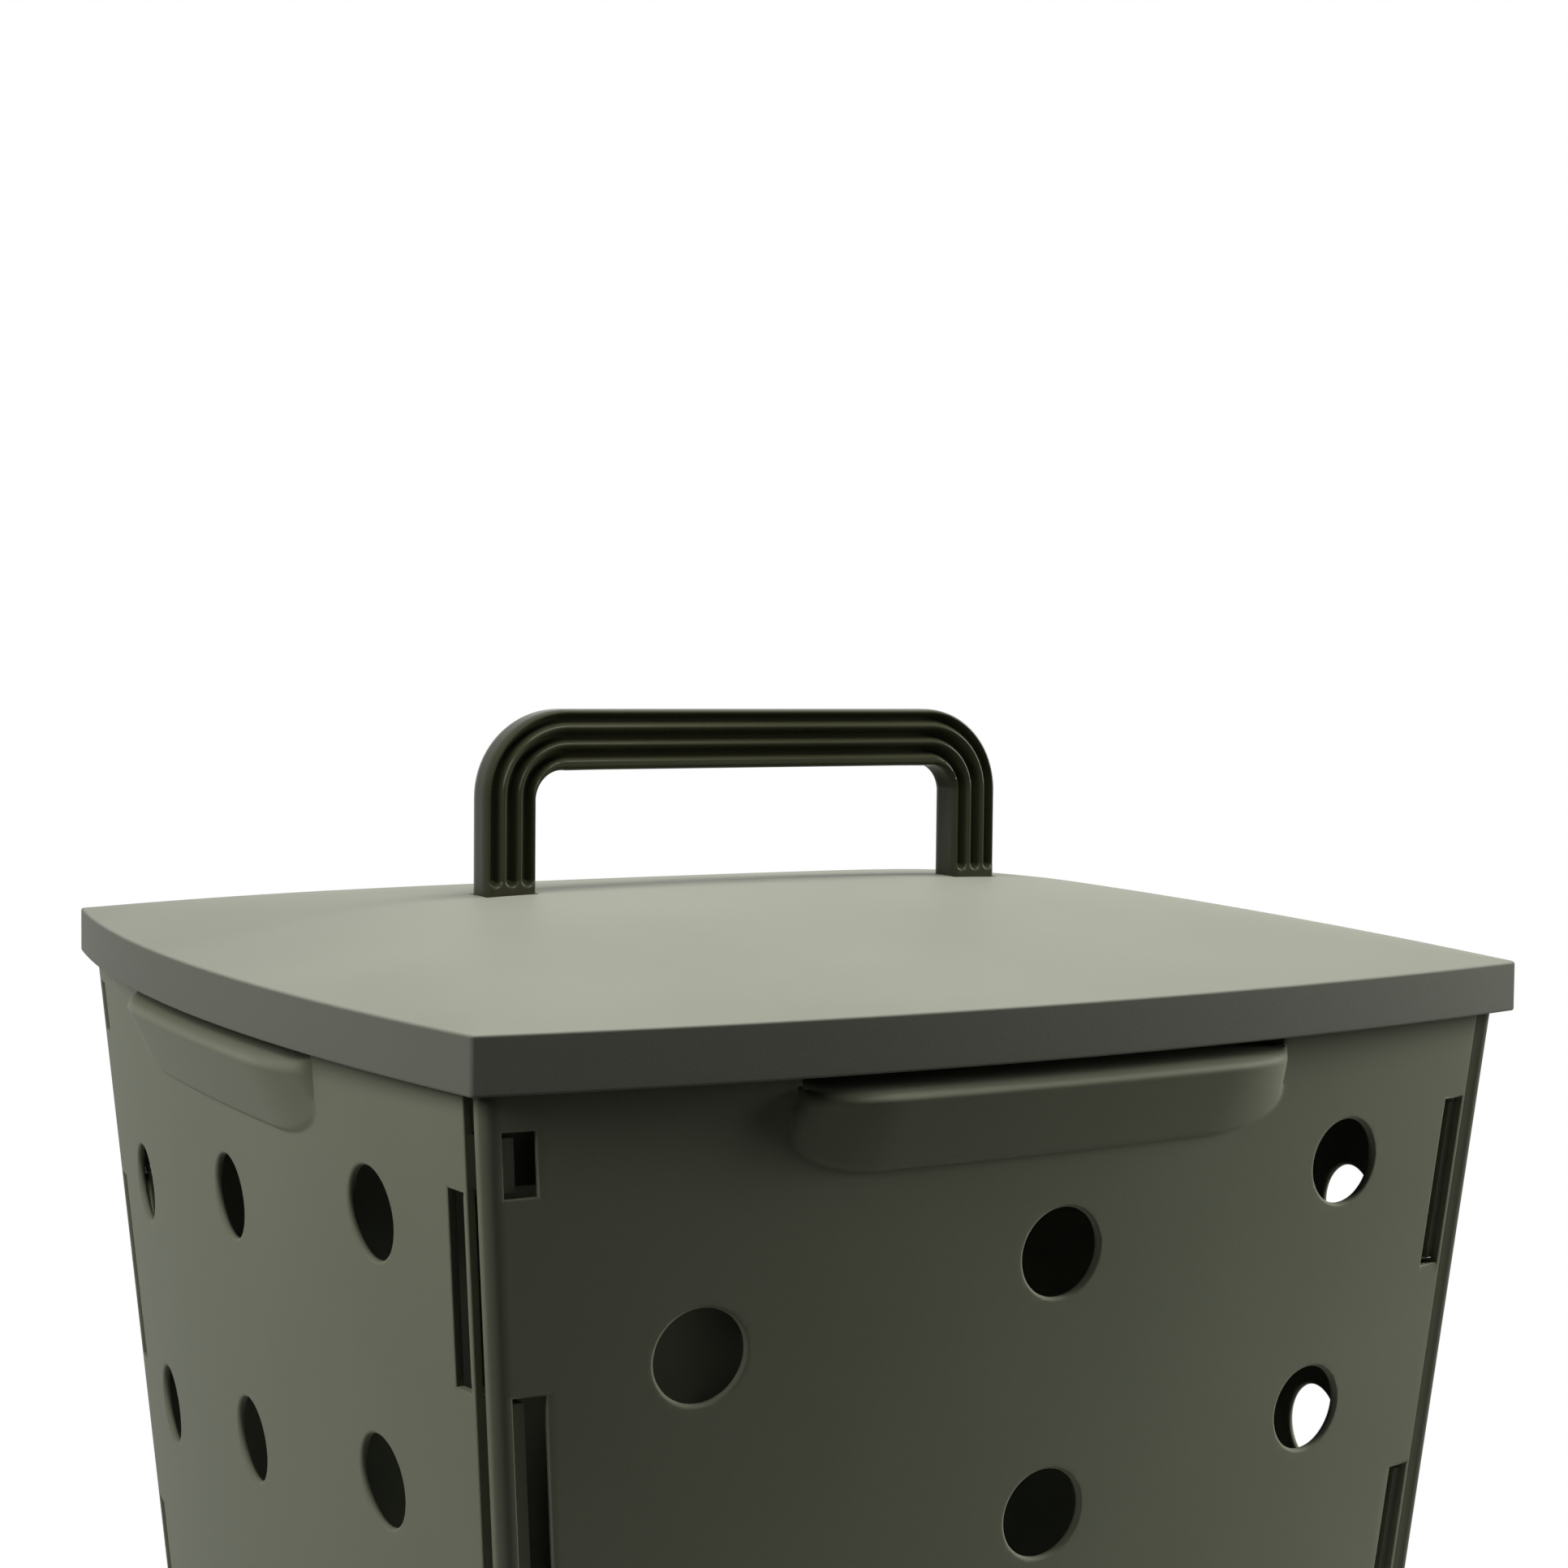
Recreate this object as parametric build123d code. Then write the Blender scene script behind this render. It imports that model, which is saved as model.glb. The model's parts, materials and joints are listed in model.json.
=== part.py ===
from build123d import *
from math import asin, atan, cos, pi, sin, sqrt
import os

os.makedirs("parts", exist_ok=True)

# Driving dimensions in millimetres. Z is up and the ground is at zero.

# Body: four equal side panels, bowed outwards and leaning in towards the ground
RIM_Z = 400.0          # top edge of the lid's rim above the ground
BODY_HALF = 147.5      # axis to panel corner at the rim
BASE_HALF = 112.5      # axis to panel corner at the ground
BODY_BOW = 10.4        # how far a panel bows out between its corners at the rim
WALL = 2.2
BEND_IN_R = 0.6        # inside radius of the square bend at each panel's left corner
FLANGE = 3.4           # flat part of the flange behind that bend
SEAM = 1.0             # open seam between the flange and the next panel's edge
LIP_W = 10.0           # ledge along the bottom that carries the floor plate
LIP_T = 3.0
LIP_GAP = 1.0

# Finger scoop pressed into the top edge of each panel
SCOOP_HALF = 70.0
SCOOP_DEPTH = 9.0
SCOOP_H = 32.0
SCOOP_END_R = 12.0

# Air holes in three columns, each column a little lower than the one to its right
HOLE_R = 11.0
HOLE_EDGE = 0.8
HOLE_PITCH = 64.3
HOLE_FOOT = 30.0       # no hole centre comes nearer to the ground
RIGHT_COL_IN = 51.4    # column to corner
LEFT_COL_IN = 46.4
COL_LEAN = 0.011       # outer columns close in on the middle this much more than the corners
RIGHT_COL_DROP = 48.3  # first hole below the rim
MIDDLE_COL_DROP = 61.2
LEFT_COL_DROP = 75.2

# Corner joint: catch windows beside both edges of a panel, taking turns down the corner
WIN_DROP = 35.7        # first right-hand window below the rim
WIN_LEN = 44.7
WIN_PITCH = 99.4
WIN_FOOT = 15.0
WIN_LAP = 0.4          # left-hand and right-hand windows overlap by this much
WIN_SHORT = 14.5       # length of the short left-hand window at the top
RIGHT_WIN_W = 6.6
LEFT_WIN_W = 7.6
WIN_STRIP = 1.5        # wall left standing between a window and the edge
HOOK_T = 2.8
HOOK_PLAY = 0.3
HOOK_CLEAR = 0.5
HOOK_SHORT = 1.2       # a hook ends this far inside each end of its window
LEFT_SUNK = 1.0        # lug in a left-hand window stays this far below the outer face
RIGHT_SUNK = 1.6
LEFT_COVER = 5.0       # leg reaches this far past a left-hand window, so that nothing shows through

# Floor plate
FLOOR_T = 3.0
FLOOR_GAP = 0.6
FLOOR_CORNER_R = 12.0
DRAIN_R = 4.5
DRAIN_PITCH = 27.0

# Lid: the body's bowed square a little larger, with a short skirt and a low soft crown
LID_OVERHANG = 2.5
LID_EXTRA_BOW = 3.6
LID_CORNER_R = 0.8
LID_EDGE_R = 0.6
LID_WALL = 2.6
SKIRT_H = 13.0
CROWN_H = 16.75        # height of the crown before its creases are softened
CROWN_STRIP_X = 95.0   # half length of the highest strip, under the handle
CROWN_STRIP_Y = 22.0
CROWN_SOFT = 4.0       # larger is crisper
SEAT_DROP = 4.0        # panels end this far below the rim
SEAT_MARGIN = 3.0
GUIDE_GAP = 0.5
GUIDE_W = 2.4
GUIDE_IN = 42.0        # guide rib to lid corner

# Carrying handle: a fluted U that stands in sockets and is screwed on from inside
GRIP_HALF = 83.0
GRIP_H = 50.6
GRIP_BAR = 16.7
GRIP_LEG = 14.8
GRIP_DEPTH = 11.8
GRIP_OUT_R = 24.0
GRIP_IN_R = 8.0
GRIP_EDGE_R = 0.8
FLUTES = 3
FLUTE_RIB = 1.5
FLUTE_EDGE = 1.05
FLUTE_END = 4.5
SOCKET_DEEP = 0.6
SOCKET_GAP = 0.3
SCREW_R = 2.0
SCREW_UP = 16.0
SCREW_PLAY = 0.2
PILOT_PLAY = 0.05
HEAD_R = 4.2
HEAD_H = 2.8
HEAD_SLOT = 1.05
BOSS_R = 8.0
BOSS_T = 4.5

# Values that follow from the driving dimensions
SPARE = 2.0            # how far cutting tools reach past a face
TAPER = (BODY_HALF - BASE_HALF) / RIM_Z
LEAN = atan(TAPER)
TOP_Z = RIM_Z - SEAT_DROP
BEND_R = BEND_IN_R + WALL
TURN = 2 * atan(BODY_BOW / BODY_HALF)
EDGE_IN = BEND_R + FLANGE + SEAM
RIGHT_WIN_NEAR = EDGE_IN + WIN_STRIP
LEFT_WIN_NEAR = BEND_R + WIN_STRIP
LID_HALF = BODY_HALF + LID_OVERHANG
LID_BOW = BODY_BOW + LID_EXTRA_BOW
LEG_X = GRIP_HALF - GRIP_LEG / 2


def plan(z):
    """Corner half width, arc radius and arc centre of the panels at a height."""
    c = BASE_HALF + TAPER * z
    bow = BODY_BOW * c / BODY_HALF
    r = (c * c + bow * bow) / (2 * bow)
    return c, r, r - c - bow


def diagonal(r, centre, inset):
    """Corner of a bowed square after all its sides have moved in by inset."""
    return (sqrt(2 * (r - inset) ** 2 - centre ** 2) - centre) / 2


def bowed_square(half, bow, inset):
    r = (half * half + bow * bow) / (2 * bow)
    m = diagonal(r, r - half - bow, inset)
    e = half + bow - inset
    return Face(Wire([
        ThreePointArc((-m, -m), (0, -e), (m, -m)),
        ThreePointArc((m, -m), (e, 0), (m, m)),
        ThreePointArc((m, m), (0, e), (-m, m)),
        ThreePointArc((-m, m), (-e, 0), (-m, -m)),
    ]))


def body_square(z, inset):
    c, r, centre = plan(z)
    return bowed_square(c, BODY_BOW * c / BODY_HALF, inset)


def prism(face, z0, z1):
    return Pos(0, 0, z0) * extrude(face, amount=z1 - z0, dir=(0, 0, 1))


def on_face(z, angle, depth):
    """Point of the front panel, by its angle about the arc centre and its depth."""
    c, r, centre = plan(z)
    return Vector((r - depth) * sin(angle), centre - (r - depth) * cos(angle), z)


def strip(z, angle, near, far):
    """Plan of a stretch of the front panel between two depths."""
    return Wire([
        ThreePointArc(on_face(z, -angle, near), on_face(z, 0, near), on_face(z, angle, near)),
        Line(on_face(z, angle, near), on_face(z, angle, far)),
        ThreePointArc(on_face(z, angle, far), on_face(z, 0, far), on_face(z, -angle, far)),
        Line(on_face(z, -angle, far), on_face(z, -angle, near)),
    ])


# Side panel: bowed face, a square bend with a flange at its left corner, an open right edge
def panel_plan(z):
    c, r, centre = plan(z)
    corner = asin(c / r)
    turn = corner - BEND_R / r
    edge = corner - EDGE_IN / r

    def bend(radius, angle, along):
        """Point of the bend by its radius and angle, or of the flange behind it."""
        m = on_face(z, -turn, BEND_R)
        face_out = Vector(-sin(turn), -cos(turn), 0)
        flange_out = Vector(-cos(turn), sin(turn), 0)
        return m + (face_out * cos(angle) + flange_out * sin(angle)) * radius - face_out * along

    half_way = pi / 4
    square = pi / 2
    return Wire([
        Line(bend(BEND_R, square, FLANGE), bend(BEND_R, square, 0)),
        ThreePointArc(bend(BEND_R, square, 0), bend(BEND_R, half_way, 0), bend(BEND_R, 0, 0)),
        ThreePointArc(bend(BEND_R, 0, 0), on_face(z, 0, 0), on_face(z, edge, 0)),
        Line(on_face(z, edge, 0), on_face(z, edge, WALL)),
        ThreePointArc(on_face(z, edge, WALL), on_face(z, 0, WALL), bend(BEND_IN_R, 0, 0)),
        ThreePointArc(bend(BEND_IN_R, 0, 0), bend(BEND_IN_R, half_way, 0), bend(BEND_IN_R, square, 0)),
        Line(bend(BEND_IN_R, square, 0), bend(BEND_IN_R, square, FLANGE)),
        Line(bend(BEND_IN_R, square, FLANGE), bend(BEND_R, square, FLANGE)),
    ])


def scoop_tool(grow):
    """Long round-ended roller that presses the scoop; grow adds the wall behind it."""
    lean = SCOOP_H * TAPER
    reach = (lean ** 2 + SCOOP_H ** 2 - SCOOP_DEPTH ** 2) / (2 * (SCOOP_DEPTH - lean))
    roller = Cylinder(reach + SCOOP_DEPTH + grow, 2 * (SCOOP_HALF + grow))
    roller = fillet(roller.edges().filter_by(GeomType.CIRCLE), SCOOP_END_R + grow)
    return Pos(0, on_face(TOP_Z, 0, 0).Y - reach, TOP_Z) * Rot(0, 90, 0) * roller


def scoop_wall():
    """Inside of the scoop, kept between the panel's own wall and the bin's inside."""
    low = TOP_Z - 2 * SCOOP_H
    angle = asin((SCOOP_HALF + 2 * SCOOP_END_R) / plan(low)[1])
    deep = SCOOP_DEPTH + 2 * SCOOP_END_R
    room = Solid.make_loft(
        [strip(low, angle, WALL / 2, deep), strip(TOP_Z, angle, WALL / 2, deep)], ruled=True
    )
    return scoop_tool(WALL) & room


def hole_tools():
    shape = Polyline(
        (0, -WALL - SPARE), (HOLE_R, -WALL - SPARE), (HOLE_R, -HOLE_EDGE),
        (HOLE_R + HOLE_EDGE + SPARE, SPARE), (0, SPARE), close=True,
    )
    drill = revolve(Plane.XZ * make_face(shape), Axis.Z)
    tools = []
    columns = ((1, RIGHT_COL_IN, RIGHT_COL_DROP), (0, 0, MIDDLE_COL_DROP), (-1, LEFT_COL_IN, LEFT_COL_DROP))
    for side, col_in, drop in columns:
        z = RIM_Z - drop
        while z > HOLE_FOOT:
            c, r, centre = plan(z)
            angle = asin(side * (c - col_in - COL_LEAN * (RIM_Z - z)) / r)
            out = Vector(sin(angle) * cos(LEAN), -cos(angle) * cos(LEAN), -sin(LEAN))
            tools.append(Plane(origin=on_face(z, angle, 0), z_dir=out) * drill)
            z -= HOLE_PITCH
    return tools


def corner_prism(points, side, drops):
    """Prism that follows a leaning corner between two drops below the rim. Points are
    distances from the corner along this panel and along its neighbour; side -1 is left."""
    top, bottom = drops
    c, r, centre = plan(RIM_Z - bottom)
    own = Vector(-side * cos(TURN), -sin(TURN), 0)
    other = Vector(side * sin(TURN), cos(TURN), 0)
    corner = Vector(side * c, -c, RIM_Z - bottom)
    face = Face(Wire.make_polygon([corner + own * p + other * q for p, q in points]))
    return Solid.extrude(face, Vector(side * TAPER, -TAPER, 1) * (bottom - top))


def window_drops():
    """Right-hand windows, and the left-hand ones that fill the spaces above them."""
    right = []
    left = []
    top = WIN_DROP
    above = WIN_DROP + WIN_LAP - WIN_SHORT
    while top + WIN_LEN < RIM_Z - WIN_FOOT:
        right.append((top, top + WIN_LEN))
        left.append((above, top + WIN_LAP))
        above = top + WIN_LEN - WIN_LAP
        top += WIN_PITCH
    return right, left


def window(side, near, width, drops):
    far = near + width
    deep = WALL + SPARE
    return corner_prism([(near, -SPARE), (far, -SPARE), (far, deep), (near, deep)], side, drops)


def hook(side, start, lug, far, sunk, drops):
    """Catch: a leg that stands behind the corner and a lug turned into the neighbour's window."""
    leg = start + HOOK_CLEAR
    shapes = [
        [(leg, WALL / 2), (leg + HOOK_T, WALL / 2), (leg + HOOK_T, far), (leg, far)],
        [(sunk, lug), (leg + HOOK_T / 2, lug), (leg + HOOK_T / 2, lug + HOOK_T), (sunk, lug + HOOK_T)],
    ]
    ends = (drops[0] + HOOK_SHORT, drops[1] - HOOK_SHORT)
    return [corner_prism(points, side, ends) for points in shapes]


def make_panel():
    wall = Solid.make_loft([panel_plan(0), panel_plan(TOP_Z)], ruled=True)
    c, r, centre = plan(0)
    lip_angle = asin((c - WALL - LIP_W - LIP_GAP) / r)
    lip = prism(Face(strip(0, lip_angle, WALL / 2, WALL + LIP_W)), 0, LIP_T)
    panel = wall + scoop_wall() + lip

    right, left = window_drops()
    cuts = [scoop_tool(0)] + hole_tools()
    cuts += [window(1, RIGHT_WIN_NEAR, RIGHT_WIN_W, drops) for drops in right]
    cuts += [window(-1, LEFT_WIN_NEAR, LEFT_WIN_W, drops) for drops in left]
    hooks = []
    for drops in left:
        lug = LEFT_WIN_NEAR + HOOK_PLAY
        hooks += hook(1, EDGE_IN, lug, LEFT_WIN_NEAR + LEFT_WIN_W + LEFT_COVER, LEFT_SUNK, drops)
    for drops in right:
        lug = RIGHT_WIN_NEAR + HOOK_PLAY
        hooks += hook(-1, WALL / cos(2 * TURN), lug, lug + HOOK_T, RIGHT_SUNK, drops)
    return panel - cuts + hooks


# Floor plate: lies on the four bottom ledges and lets liquid drain
def make_floor():
    plate = prism(body_square(LIP_T, WALL + FLOOR_GAP), LIP_T, LIP_T + FLOOR_T)
    plate = fillet(plate.edges().filter_by(Axis.Z), FLOOR_CORNER_R)
    reach = plan(LIP_T)[0] - WALL - LIP_W - DRAIN_R
    count = int(reach / DRAIN_PITCH)
    drains = []
    for i in range(-count, count + 1):
        for j in range(-count, count + 1):
            at = Pos(i * DRAIN_PITCH, j * DRAIN_PITCH, LIP_T + FLOOR_T / 2)
            drains.append(at * Cylinder(DRAIN_R, FLOOR_T + SPARE))
    return plate - drains


# Lid: highest in a strip under the handle, falling softly to the rim
def crown_height(xi, eta):
    """Height above the rim at a share of the way from the axis to each side."""
    a = (1 - abs(xi)) / (1 - CROWN_STRIP_X / (LID_HALF + LID_BOW))
    b = (1 - abs(eta)) / (1 - CROWN_STRIP_Y / (LID_HALF + LID_BOW))
    near_edge = 0.02
    if min(a, b) < near_edge:
        return CROWN_H * min(a, b)
    return CROWN_H * (1 + a ** -CROWN_SOFT + b ** -CROWN_SOFT) ** (-1 / CROWN_SOFT)


FOOT_Z = RIM_Z + crown_height(LEG_X / (LID_HALF + LID_BOW), 0) - SOCKET_DEEP


def under_crown(drop):
    """Everything below the crown surface after it has been lowered by drop."""
    r = (LID_HALF ** 2 + LID_BOW ** 2) / (2 * LID_BOW)

    def side(share):
        return sqrt(r * r - (LID_HALF * share) ** 2) - r + LID_BOW + LID_HALF

    count = 7
    shares = [i / count for i in range(-count - 1, count + 2)]
    rows = [
        [Vector(xi * side(eta), eta * side(xi), RIM_Z + crown_height(xi, eta) - drop) for eta in shares]
        for xi in shares
    ]
    surface = Face.make_surface_from_array_of_points(rows, tol=0.05, max_deg=3)
    return Solid.extrude(surface, Vector(0, 0, -2 * (SKIRT_H + CROWN_H)))


def make_lid():
    bottom = RIM_Z - SKIRT_H
    above = RIM_Z + 2 * CROWN_H
    outer = prism(bowed_square(LID_HALF, LID_BOW, 0), bottom, above)
    outer = fillet(outer.edges().filter_by(Axis.Z), LID_CORNER_R)
    outer = outer & under_crown(0)
    rim = outer.edges().filter_by(lambda e: abs(e.center().Z - RIM_Z) < LID_EDGE_R)
    outer = fillet(rim + outer.edges().group_by(Axis.Z)[0], LID_EDGE_R)

    apex = LID_HALF + LID_BOW + on_face(TOP_Z, 0, WALL).Y
    skirt_room = prism(bowed_square(LID_HALF, LID_BOW, LID_WALL), bottom - SPARE, TOP_Z)
    crown_room = prism(bowed_square(LID_HALF, LID_BOW, apex + SEAT_MARGIN), TOP_Z - SPARE, above)
    lid = outer - skirt_room - (crown_room & under_crown(LID_WALL))

    # Guide ribs inside the skirt centre the lid on the panels
    ring = prism(bowed_square(LID_HALF, LID_BOW, LID_WALL / 2), bottom + LID_EDGE_R, TOP_Z + LID_WALL / 2)
    ring = ring - prism(body_square(TOP_Z, -GUIDE_GAP), bottom, TOP_Z + LID_WALL)
    across = 2 * (LID_HALF + LID_BOW)
    for at in (GUIDE_IN - LID_HALF, LID_HALF - GUIDE_IN):
        lid = lid + (ring & Pos(at, 0, TOP_Z) * Box(GUIDE_W, across, 2 * SKIRT_H))
        lid = lid + (ring & Pos(0, at, TOP_Z) * Box(across, GUIDE_W, 2 * SKIRT_H))

    # Sockets for the handle's feet, with a screw boss under each
    socket_h = SOCKET_DEEP + SPARE
    socket = Box(GRIP_LEG + 2 * SOCKET_GAP, GRIP_DEPTH + 2 * SOCKET_GAP, socket_h)
    for x in (-LEG_X, LEG_X):
        lid = lid + Pos(x, 0, FOOT_Z - BOSS_T / 2) * Cylinder(BOSS_R, BOSS_T)
        lid = lid - Pos(x, 0, FOOT_Z + socket_h / 2) * socket
        lid = lid - Pos(x, 0, FOOT_Z - BOSS_T / 2) * Cylinder(SCREW_R + SCREW_PLAY, BOSS_T + SPARE)
    return lid


# Handle: U outline pulled through its depth, then fluted on both broad faces
def u_edges(half, top, radius, foot):
    bevel = radius * (1 - sqrt(0.5))
    low = top - radius
    return [
        Line((-half, 0, foot), (-half, 0, low)),
        ThreePointArc((-half, 0, low), (-half + bevel, 0, top - bevel), (-half + radius, 0, top)),
        Line((-half + radius, 0, top), (half - radius, 0, top)),
        ThreePointArc((half - radius, 0, top), (half - bevel, 0, top - bevel), (half, 0, low)),
        Line((half, 0, low), (half, 0, foot)),
    ]


def make_handle():
    top = FOOT_Z + GRIP_H
    inner = GRIP_HALF - GRIP_LEG
    outline = u_edges(GRIP_HALF, top, GRIP_OUT_R, FOOT_Z) + u_edges(inner, top - GRIP_BAR, GRIP_IN_R, FOOT_Z)
    for side in (-1, 1):
        outline.append(Line((side * GRIP_HALF, 0, FOOT_Z), (side * inner, 0, FOOT_Z)))
    half = GRIP_DEPTH / 2
    grip = Pos(0, -half, 0) * Solid.extrude(Face(Wire(outline)), Vector(0, GRIP_DEPTH, 0))
    long_edges = grip.edges().filter_by_position(Axis.Y, -half, -half) + grip.edges().filter_by_position(
        Axis.Y, half, half
    )
    grip = fillet(long_edges.filter_by(lambda e: e.center().Z > FOOT_Z + GRIP_EDGE_R), GRIP_EDGE_R)

    width = (GRIP_LEG - 2 * FLUTE_EDGE - (FLUTES - 1) * FLUTE_RIB) / FLUTES
    start = FOOT_Z + FLUTE_END
    for k in range(FLUTES):
        off = FLUTE_EDGE + width / 2 + k * (width + FLUTE_RIB)
        x = GRIP_HALF - off
        path = Wire(u_edges(x, top - off, GRIP_OUT_R - off, start))
        flute = sweep(Plane(origin=(-x, 0, start), z_dir=(0, 0, 1)) * Circle(width / 2), path=path)
        for y in (-half, half):
            grip = grip - Pos(0, y, 0) * flute
            grip = grip - Pos(-x, y, start) * Sphere(width / 2) - Pos(x, y, start) * Sphere(width / 2)
    for x in (-LEG_X, LEG_X):
        pilot = Cylinder(SCREW_R + PILOT_PLAY, 2 * (SCREW_UP + SPARE))
        grip = grip - Pos(x, 0, FOOT_Z) * pilot
    return grip


# Screws: driven up through the bosses into the handle's legs
def make_screws():
    under = FOOT_Z - BOSS_T
    length = BOSS_T + SCREW_UP
    head = Pos(0, 0, -HEAD_H / 2) * Cylinder(HEAD_R, HEAD_H)
    screw = head + Pos(0, 0, length / 2) * Cylinder(SCREW_R, length)
    screw = fillet(screw.edges().group_by(Axis.Z)[0], HEAD_H / 2)
    for turn in (0, 90):
        screw = screw - Pos(0, 0, -HEAD_H) * Rot(0, 0, turn) * Box(HEAD_R, HEAD_SLOT, HEAD_H)
    return [Pos(x, 0, under) * screw for x in (-LEG_X, LEG_X)]


panel_solid = make_panel()
for side_name, angle in (("front", 0), ("right", 90), ("back", 180), ("left", 270)):
    export_step(Rot(0, 0, angle) * panel_solid, f"parts/panel_{side_name}.step")
export_step(make_floor(), "parts/floor_plate.step")
export_step(make_lid(), "parts/lid.step")
export_step(make_handle(), "parts/lid_handle.step")
export_step(Compound(children=make_screws()), "parts/handle_screws.step")
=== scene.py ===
import json
import math

import bmesh
import bpy
from mathutils import Matrix, Vector

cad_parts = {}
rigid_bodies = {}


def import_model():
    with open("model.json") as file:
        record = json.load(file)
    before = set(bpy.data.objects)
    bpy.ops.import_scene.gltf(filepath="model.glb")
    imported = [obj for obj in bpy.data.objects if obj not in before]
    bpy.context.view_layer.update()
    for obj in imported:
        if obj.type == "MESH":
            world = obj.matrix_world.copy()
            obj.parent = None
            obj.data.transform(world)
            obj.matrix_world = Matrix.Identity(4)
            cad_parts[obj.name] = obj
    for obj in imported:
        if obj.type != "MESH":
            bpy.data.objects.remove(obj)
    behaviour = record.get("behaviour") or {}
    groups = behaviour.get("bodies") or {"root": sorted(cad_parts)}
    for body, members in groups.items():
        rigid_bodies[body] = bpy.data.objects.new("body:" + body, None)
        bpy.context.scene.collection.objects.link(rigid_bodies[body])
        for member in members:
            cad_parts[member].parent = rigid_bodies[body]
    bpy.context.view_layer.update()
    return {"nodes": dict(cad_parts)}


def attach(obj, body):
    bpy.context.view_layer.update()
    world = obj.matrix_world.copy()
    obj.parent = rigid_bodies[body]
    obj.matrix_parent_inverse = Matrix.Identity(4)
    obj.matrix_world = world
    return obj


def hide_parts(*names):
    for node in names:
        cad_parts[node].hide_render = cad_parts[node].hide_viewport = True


for leftover in list(bpy.data.objects):
    bpy.data.objects.remove(leftover)
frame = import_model()

# Side panels. Four equal injection-moulded sheets of olive grey plastic, bowed outwards and
# leaning in towards the ground, with air holes in three stepped columns and a finger slot over a
# raised pad. Each has a flange at its left corner and snaps into the next by hooks in windows.
rim_z = 0.400
body_half = 0.1475
base_half = 0.1125
body_bow = 0.0104
seat_drop = 0.004
panel_top = rim_z - seat_drop
wall = 0.0022
bend_r = 0.0028
flange = 0.0034
seam = 0.001
edge_in = bend_r + flange + seam
taper = (body_half - base_half) / rim_z
panel_sizes = {
    "Rim half": body_half, "Base half": base_half, "Bow": body_bow, "Rim height": rim_z,
    "Top": panel_top, "Wall": wall, "Edge": 0.0004,
    "Bend radius": bend_r, "Flange": flange, "Edge in": edge_in,
    "Hole radius": 0.011, "Hole edge": 0.0009, "Hole pitch": 0.0643,
    "Right column in": 0.0514, "Right column z": rim_z - 0.0483, "Right column holes": 6,
    "Middle column z": rim_z - 0.0612, "Middle column holes": 5,
    "Left column in": 0.0464, "Left column z": rim_z - 0.0752, "Left column holes": 5,
    "Column lean": 0.011,
    "Window pitch": 0.0994, "Window edge": 0.00035, "Strip": 0.0015,
    "Right window width": 0.0066, "Right window length": 0.0447,
    "Right window z": rim_z - 0.05805, "Right windows": 4,
    "Left window width": 0.0076, "Left window length": 0.0555,
    "Left window z": rim_z - 0.10775, "Left windows": 3,
    "Short window length": 0.0145, "Short window z": rim_z - 0.02885,
    "Pad middle": -edge_in / 2, "Pad half": 0.070, "Pad end": 0.024,
    "Pad height": 0.0325, "Pad corner": 0.009,
    "Pad top": 0.0076, "Pad bottom": 0.0008, "Pad round": 0.0036, "Pad foot": 0.0012,
    "Slot depth": 0.010, "Slot height": 0.012, "Slot edge": 0.0008, "Slot end": 0.006,
}


class Flow:
    """A socket of a node tree. Sums on it add Math nodes to the same tree."""

    def __init__(self, tree, socket):
        self.tree = tree
        self.socket = socket

    def node(self, kind, settings, inputs, output=0):
        made = self.tree.nodes.new(kind)
        for name, value in settings.items():
            if name == "stops":
                ramp = made.color_ramp.elements
                while len(ramp) < len(value):
                    ramp.new(1.0)
                for element, (place, colour) in zip(ramp, value):
                    element.position = place
                    element.color = (*colour, 1.0)
            else:
                setattr(made, name, value)
        for name, value in inputs.items():
            for one in value if isinstance(value, list) else [value]:
                if isinstance(one, Flow):
                    self.tree.links.new(one.socket, made.inputs[name])
                else:
                    made.inputs[name].default_value = one
        return Flow(self.tree, made.outputs[output])

    def also(self, output):
        return Flow(self.tree, self.socket.node.outputs[output])

    def math(self, operation, *values):
        return self.node("ShaderNodeMath", {"operation": operation}, dict(enumerate(values)))

    def xyz(self):
        parts = self.node("ShaderNodeSeparateXYZ", {}, {0: self})
        return parts, parts.also(1), parts.also(2)

    def point(self, x, y, z):
        return self.node("ShaderNodeCombineXYZ", {}, {0: x, 1: y, 2: z})

    def __add__(self, other):
        return self.math("ADD", self, other)

    def __radd__(self, other):
        return self.math("ADD", other, self)

    def __sub__(self, other):
        return self.math("SUBTRACT", self, other)

    def __rsub__(self, other):
        return self.math("SUBTRACT", other, self)

    def __mul__(self, other):
        return self.math("MULTIPLY", self, other)

    def __rmul__(self, other):
        return self.math("MULTIPLY", other, self)

    def __truediv__(self, other):
        return self.math("DIVIDE", self, other)

    def __rtruediv__(self, other):
        return self.math("DIVIDE", other, self)

    def __neg__(self):
        return self.math("MULTIPLY", self, -1.0)

    def __gt__(self, other):
        return self.math("GREATER_THAN", self, other)

    def sin(self):
        return self.math("SINE", self)

    def cos(self):
        return self.math("COSINE", self)

    def asin(self):
        return self.math("ARCSINE", self)

    def sqrt(self):
        return self.math("SQRT", self)

    def size(self):
        return self.math("ABSOLUTE", self)

    def sign(self):
        return self.math("SIGN", self)

    def low(self, other):
        return self.math("MINIMUM", self, other)

    def high(self, other):
        return self.math("MAXIMUM", self, other)


def evaluated_mesh(piece):
    """A plain mesh of what a piece's modifiers make."""
    return bpy.data.meshes.new_from_object(piece.evaluated_get(bpy.context.evaluated_depsgraph_get()))


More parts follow.
